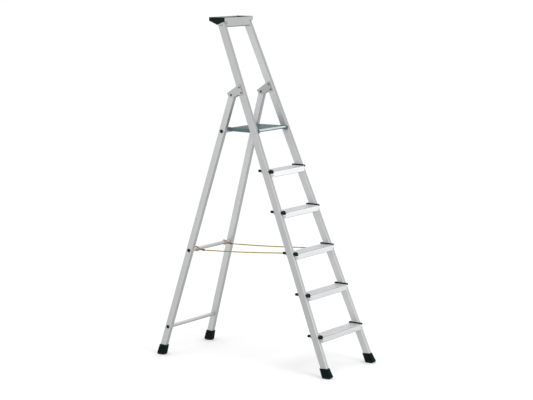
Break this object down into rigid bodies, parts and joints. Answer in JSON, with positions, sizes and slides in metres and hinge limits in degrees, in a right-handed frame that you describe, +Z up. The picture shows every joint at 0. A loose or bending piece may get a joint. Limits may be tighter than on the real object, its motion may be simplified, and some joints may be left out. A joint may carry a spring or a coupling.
{
  "type": "platform step ladder",
  "caption": "Folding aluminium step ladder with ribbed treads, a fold-up standing platform, a tool tray above the guard rail stiles and two safety ropes.",
  "frame": {"origin": "on the floor, at the centre of the bounding box of the open ladder", "axes": "+Z up, -Y towards the climbing side, +Y towards the rear legs, +X to the right of somebody facing the treads"},
  "size_m": [0.542, 1.239, 2.0675],
  "materials": {
    "aluminium": "satin",
    "tread_profile": "satin",
    "black_plastic": "matte",
    "rubber": "matte",
    "dark_steel": "satin",
    "slate_plastic": "matte",
    "deck_profile": "satin",
    "white_plastic": "satin",
    "rope": "matte"
  },
  "bodies": {
    "front_frame": {"stile_left": "aluminium", "stile_right": "aluminium", "tread_1": "tread_profile", "tread_2": "tread_profile", "tread_3": "tread_profile", "tread_4": "tread_profile", "tread_5": "tread_profile", "tread_cap_left_1": "black_plastic", "tread_cap_left_2": "black_plastic", "tread_cap_left_3": "black_plastic", "tread_cap_left_4": "black_plastic", "tread_cap_left_5": "black_plastic", "tread_cap_right_1": "black_plastic", "tread_cap_right_2": "black_plastic", "tread_cap_right_3": "black_plastic", "tread_cap_right_4": "black_plastic", "tread_cap_right_5": "black_plastic", "tread_rivets": "dark_steel", "front_foot_left": "rubber", "front_foot_right": "rubber", "tool_tray": "tread_profile", "tray_cap_left": "black_plastic", "tray_cap_right": "black_plastic", "tray_cleats": "tread_profile", "tray_rivets": "dark_steel", "hinge_bracket_left": "tread_profile", "hinge_bracket_right": "tread_profile", "hinge_pads": "black_plastic", "hinge_rivets": "dark_steel", "hinge_pin_left": "dark_steel", "hinge_pin_right": "dark_steel", "platform_pin_left": "aluminium", "platform_pin_right": "aluminium", "rope_grommets": "black_plastic"},
    "rear_frame": {"rear_leg_left": "aluminium", "rear_leg_right": "aluminium", "leg_bushes": "black_plastic", "crossbar_lower": "aluminium", "crossbar_upper": "aluminium", "platform_tube": "aluminium", "tube_plugs": "black_plastic", "rear_foot_left": "rubber", "rear_foot_right": "rubber"},
    "platform": {"platform_arm_left": "slate_plastic", "platform_arm_right": "slate_plastic", "platform_deck": "deck_profile", "platform_mat": "slate_plastic", "platform_nose": "white_plastic", "platform_rivets": "dark_steel"},
    "rope_front": {"safety_rope_left_front": "rope", "safety_rope_right_front": "rope"},
    "rope_rear": {"safety_rope_left_rear": "rope", "safety_rope_right_rear": "rope"},
    "rope_eyes": {"rope_eye_left": "rope", "rope_eye_right": "rope"}
  },
  "joints": [
    {"name": "legs_fold", "type": "hinge", "parent": "front_frame", "child": "rear_frame", "pos_m": [0, 0.1345, 1.612], "axis": [-1, 0, 0], "range_deg": [0, 37]},
    {"name": "platform_lift", "type": "hinge", "parent": "front_frame", "child": "platform", "pos_m": [0, -0.04, 1.401], "axis": [1, 0, 0], "range_deg": [0, 66.05]},
    {"name": "rope_swing", "type": "hinge", "parent": "front_frame", "child": "rope_front", "pos_m": [0, -0.263, 0.6894], "axis": [-1, 0, 0], "range_deg": [0, 90.1], "deforming": ["safety_rope_left_front", "safety_rope_right_front"]},
    {"name": "rope_fold", "type": "hinge", "parent": "rope_front", "child": "rope_rear", "pos_m": [0, 0.0718, 0.6805], "axis": [1, 0, 0], "range_deg": [0, 175.05], "deforming": ["safety_rope_left_rear", "safety_rope_right_rear"]},
    {"name": "rope_eye_turn", "type": "hinge", "parent": "rear_frame", "child": "rope_eyes", "pos_m": [0, 0.4072, 0.659], "axis": [1, 0, 0], "range_deg": [0, 122]}
  ],
  "couplings": [
    {"joint": "platform_lift", "follows": "legs_fold", "ratio": 1.7838},
    {"joint": "rope_swing", "follows": "legs_fold", "ratio": 2.4334},
    {"joint": "rope_fold", "follows": "legs_fold", "ratio": 4.7295},
    {"joint": "rope_eye_turn", "follows": "legs_fold", "ratio": 3.296}
  ]
}
